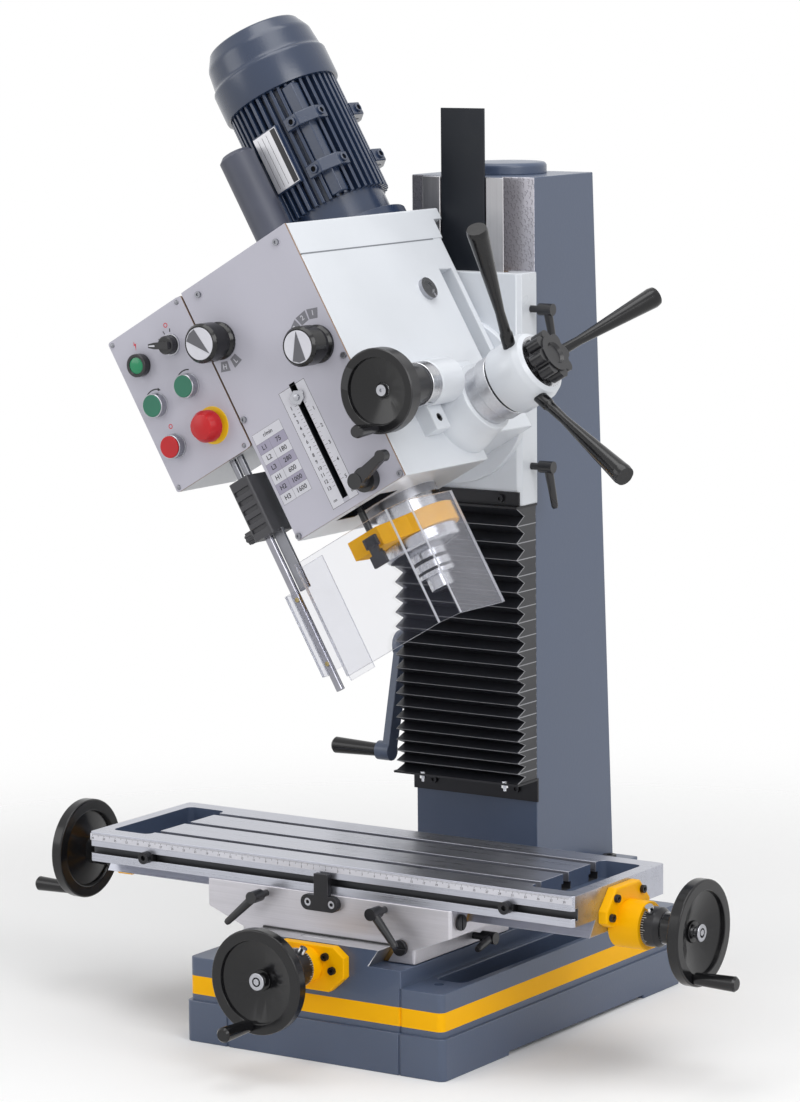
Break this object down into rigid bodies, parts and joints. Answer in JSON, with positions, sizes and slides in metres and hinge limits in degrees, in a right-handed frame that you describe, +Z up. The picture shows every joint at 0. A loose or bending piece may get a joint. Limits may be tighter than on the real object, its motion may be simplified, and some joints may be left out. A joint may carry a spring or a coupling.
{
  "type": "milling drilling machine",
  "caption": "Bench-height milling and drilling machine: cast base, dovetail column, tilting geared head with quill feed, compound table with handwheels, bellows and clear guard.",
  "frame": {"origin": "centre of the base's footprint, on the floor", "axes": "+Z up, +X to the operator's right, -Y towards the operator"},
  "size_m": [1.1616, 0.8343, 1.4041],
  "materials": {
    "slate": "hammered slate blue-grey gloss enamel",
    "cap_slate": "slate enamel",
    "white": "smooth off-white enamel",
    "yellow": "signal yellow enamel",
    "panel": "printed lilac-grey plate",
    "iron": "ground and scraped cast iron",
    "steel": "ground steel",
    "chrome": "bright chrome",
    "bronze": "machined bronze",
    "black_plastic": "glossy black phenolic",
    "black_oxide": "black oxide",
    "motor": "glossy blue-grey enamel",
    "dark_grey": "matt dark grey plastic",
    "green": "green plastic",
    "red": "red plastic",
    "bellows": "black coated bellows fabric",
    "clear": "clear bent sheet",
    "knob": "black knob with a pale cap"
  },
  "bodies": {
    "frame": {"base_casting": "slate", "column": "slate", "column_cap": "cap_slate", "frame_fasteners": "black_oxide", "y_feed_bracket": "yellow", "bellows_lower_plate": "black_oxide", "bellows": "bellows"},
    "cross_feed": {"y_feed_screw": "black_plastic"},
    "cross_grip": {"y_grip": "black_plastic"},
    "saddle": {"saddle": "iron", "saddle_nuts_and_gibs": "bronze", "table_stop_block": "black_oxide"},
    "table_lock_left": {"x_lock_left": "black_oxide"},
    "table_lock_right": {"x_lock_right": "black_oxide"},
    "saddle_lock": {"y_lock": "black_oxide"},
    "table": {"table": "iron", "x_brackets": "yellow"},
    "dog_left": {"stop_dog_left": "black_oxide"},
    "dog_right": {"stop_dog_right": "black_oxide"},
    "long_feed": {"x_screw": "steel", "x_handwheels": "black_plastic"},
    "long_grip_left": {"x_grip_left": "black_plastic"},
    "long_grip_right": {"x_grip_right": "black_plastic"},
    "column_crank": {"z_crank": "slate"},
    "crank_grip": {"z_crank_grip": "black_plastic"},
    "lift_screw": {"z_screw": "steel"},
    "slide": {"head_slide": "white", "slide_fittings": "bronze", "way_cover": "black_oxide", "bellows_upper_plate": "black_oxide"},
    "slide_lock_upper": {"z_lock_upper": "black_oxide"},
    "slide_lock_lower": {"z_lock_lower": "black_oxide"},
    "head": {"head_casting": "white", "head_cover": "white", "front_panel": "panel", "control_box": "panel", "motor_housing": "motor", "fan_cover": "motor", "capacitor_housing": "dark_grey", "guard_switch_box": "dark_grey", "head_fittings": "chrome"},
    "start_forward": {"start_forward_button": "green"},
    "start_reverse": {"start_reverse_button": "green"},
    "stop": {"stop_button": "red"},
    "emergency": {"emergency_stop": "red"},
    "selector": {"selector_switch": "black_plastic"},
    "range_knob": {"gear_knob_left": "knob"},
    "speed_knob": {"gear_knob_right": "knob"},
    "quill_clamp": {"quill_lock": "black_oxide"},
    "quill": {"quill": "steel", "depth_collar": "yellow"},
    "spindle": {"spindle": "steel"},
    "rotor": {"motor_rotor": "steel"},
    "countershaft": {"countershaft": "steel"},
    "sleeve": {"drive_sleeve": "steel"},
    "feed": {"feed_hub": "white", "feed_levers": "black_plastic"},
    "clutch_knob": {"star_knob": "black_plastic"},
    "fine_feed": {"fine_feed_wheel": "black_plastic"},
    "guard": {"safety_guard": "clear"}
  },
  "joints": [
    {"name": "cross_turn", "type": "hinge", "parent": "frame", "child": "cross_feed", "pos_m": [0, -0.4, 0.138], "axis": [0, 1, 0], "range_deg": [-4690, 8290]},
    {"name": "cross_grip_spin", "type": "hinge", "parent": "cross_feed", "child": "cross_grip", "pos_m": [-0.01, -0.45, 0.07824], "axis": [0, 1, 0], "continuous": true},
    {"name": "saddle_travel", "type": "slide", "parent": "frame", "child": "saddle", "axis": [0, 1, 0], "range_m": [-0.065, 0.115]},
    {"name": "table_lock_left_turn", "type": "hinge", "parent": "saddle", "child": "table_lock_left", "pos_m": [-0.101, -0.281, 0.215], "axis": [0, -1, 0], "range_deg": [-80, 10]},
    {"name": "table_lock_right_turn", "type": "hinge", "parent": "saddle", "child": "table_lock_right", "pos_m": [0.095, -0.281, 0.215], "axis": [0, -1, 0], "range_deg": [-10, 80]},
    {"name": "saddle_lock_turn", "type": "hinge", "parent": "saddle", "child": "saddle_lock", "pos_m": [0.1425, -0.132, 0.155], "axis": [1, 0, 0], "range_deg": [-8, 25]},
    {"name": "table_travel", "type": "slide", "parent": "saddle", "child": "table", "axis": [1, 0, 0], "range_m": [-0.185, 0.205]},
    {"name": "dog_left_slide", "type": "slide", "parent": "table", "child": "dog_left", "axis": [1, 0, 0], "range_m": [-0.06, 0.06]},
    {"name": "dog_right_slide", "type": "slide", "parent": "table", "child": "dog_right", "axis": [1, 0, 0], "range_m": [-0.06, 0.06]},
    {"name": "long_turn", "type": "hinge", "parent": "table", "child": "long_feed", "pos_m": [-0.009, -0.158, 0.21], "axis": [1, 0, 0], "range_deg": [-13330, 14770]},
    {"name": "long_grip_left_spin", "type": "hinge", "parent": "long_feed", "child": "long_grip_left", "pos_m": [-0.55, -0.182, 0.15384], "axis": [-1, 0, 0], "continuous": true},
    {"name": "long_grip_right_spin", "type": "hinge", "parent": "long_feed", "child": "long_grip_right", "pos_m": [0.53, -0.182, 0.15384], "axis": [1, 0, 0], "continuous": true},
    {"name": "crank_turn", "type": "hinge", "parent": "frame", "child": "column_crank", "pos_m": [-0.15, 0.13, 0.5], "axis": [-1, 0, 0], "range_deg": [-33130, 15850]},
    {"name": "crank_grip_spin", "type": "hinge", "parent": "column_crank", "child": "crank_grip", "pos_m": [-0.2, 0.08997, 0.34818], "axis": [-1, 0, 0], "continuous": true},
    {"name": "lift_screw_turn", "type": "hinge", "parent": "frame", "child": "lift_screw", "pos_m": [0, 0.13, 0.5], "axis": [0, 0, 1], "range_deg": [-16570, 7930]},
    {"name": "head_lift", "type": "slide", "parent": "frame", "child": "slide", "axis": [0, 0, 1], "range_m": [-0.23, 0.11], "deforming": ["bellows"]},
    {"name": "slide_lock_upper_turn", "type": "hinge", "parent": "slide", "child": "slide_lock_upper", "pos_m": [0.105, 0.086, 1.001], "axis": [1, 0, 0], "range_deg": [-45, 45]},
    {"name": "slide_lock_lower_turn", "type": "hinge", "parent": "slide", "child": "slide_lock_lower", "pos_m": [0.105, 0.086, 0.78], "axis": [1, 0, 0], "range_deg": [-45, 45]},
    {"name": "head_tilt", "type": "hinge", "parent": "slide", "child": "head", "pos_m": [0, 0.046, 0.872], "axis": [0, 1, 0], "range_deg": [-15, 75]},
    {"name": "start_forward_press", "type": "slide", "parent": "head", "child": "start_forward", "axis": [0, 1, 0], "range_m": [0, 0.004], "stiffness_N_per_m": 500},
    {"name": "start_reverse_press", "type": "slide", "parent": "head", "child": "start_reverse", "axis": [0, 1, 0], "range_m": [0, 0.004], "stiffness_N_per_m": 500},
    {"name": "stop_press", "type": "slide", "parent": "head", "child": "stop", "axis": [0, 1, 0], "range_m": [0, 0.004], "stiffness_N_per_m": 500},
    {"name": "emergency_press", "type": "slide", "parent": "head", "child": "emergency", "axis": [0, 1, 0], "range_m": [0, 0.005], "stiffness_N_per_m": 800},
    {"name": "selector_turn", "type": "hinge", "parent": "head", "child": "selector", "pos_m": [-0.23027, -0.305, 0.96884], "axis": [0, -1, 0], "range_deg": [-45, 45]},
    {"name": "range_knob_turn", "type": "hinge", "parent": "head", "child": "range_knob", "pos_m": [-0.14745, -0.305, 0.97739], "axis": [0, -1, 0], "range_deg": [-30, 30]},
    {"name": "speed_knob_turn", "type": "hinge", "parent": "head", "child": "speed_knob", "pos_m": [0.01366, -0.305, 0.98034], "axis": [0, -1, 0], "range_deg": [-45, 45]},
    {"name": "quill_clamp_turn", "type": "hinge", "parent": "head", "child": "quill_clamp", "pos_m": [0.0932, -0.305, 0.80457], "axis": [0, -1, 0], "range_deg": [-40, 30]},
    {"name": "quill_travel", "type": "slide", "parent": "head", "child": "quill", "axis": [0.5, 0, -0.866], "range_m": [0, 0.1298]},
    {"name": "spindle_spin", "type": "hinge", "parent": "quill", "child": "spindle", "pos_m": [0.095, -0.185, 0.70745], "axis": [-0.5, 0, 0.866], "continuous": true},
    {"name": "motor_spin", "type": "hinge", "parent": "head", "child": "rotor", "pos_m": [-0.15, -0.01625, 1.13181], "axis": [-0.5, 0, 0.866], "continuous": true},
    {"name": "countershaft_spin", "type": "hinge", "parent": "head", "child": "countershaft", "pos_m": [-0.075, -0.105, 1.0019], "axis": [-0.5, 0, 0.866], "continuous": true},
    {"name": "sleeve_spin", "type": "hinge", "parent": "head", "child": "sleeve", "pos_m": [-0.075, -0.185, 1.0019], "axis": [-0.5, 0, 0.866], "continuous": true},
    {"name": "feed_turn", "type": "hinge", "parent": "head", "child": "feed", "pos_m": [0.1574, -0.12, 0.89937], "axis": [0.866, 0, 0.5], "range_deg": [0, 330.95]},
    {"name": "clutch_knob_turn", "type": "hinge", "parent": "feed", "child": "clutch_knob", "pos_m": [0.25267, -0.12, 0.95437], "axis": [0.866, 0, 0.5], "range_deg": [0, 360]},
    {"name": "fine_turn", "type": "hinge", "parent": "head", "child": "fine_feed", "pos_m": [0.12715, -0.3, 0.92578], "axis": [0, -1, 0], "range_deg": [0, 13235]},
    {"name": "guard_swing", "type": "hinge", "parent": "head", "child": "guard", "pos_m": [-0.02471, -0.3, 0.62679], "axis": [0.5, 0, -0.866], "range_deg": [0, 110]}
  ],
  "couplings": [
    {"joint": "cross_turn", "follows": "saddle_travel", "rad_per_m": 1256.6},
    {"joint": "long_turn", "follows": "table_travel", "rad_per_m": 1256.6},
    {"joint": "crank_turn", "follows": "head_lift", "rad_per_m": 2513.3},
    {"joint": "lift_screw_turn", "follows": "head_lift", "rad_per_m": 1256.6},
    {"joint": "countershaft_spin", "follows": "motor_spin", "ratio": -0.65116},
    {"joint": "sleeve_spin", "follows": "motor_spin", "ratio": 0.44553},
    {"joint": "spindle_spin", "follows": "motor_spin", "ratio": 0.44553},
    {"joint": "feed_turn", "follows": "quill_travel", "rad_per_m": 44.444},
    {"joint": "fine_turn", "follows": "quill_travel", "rad_per_m": 1777.8}
  ]
}
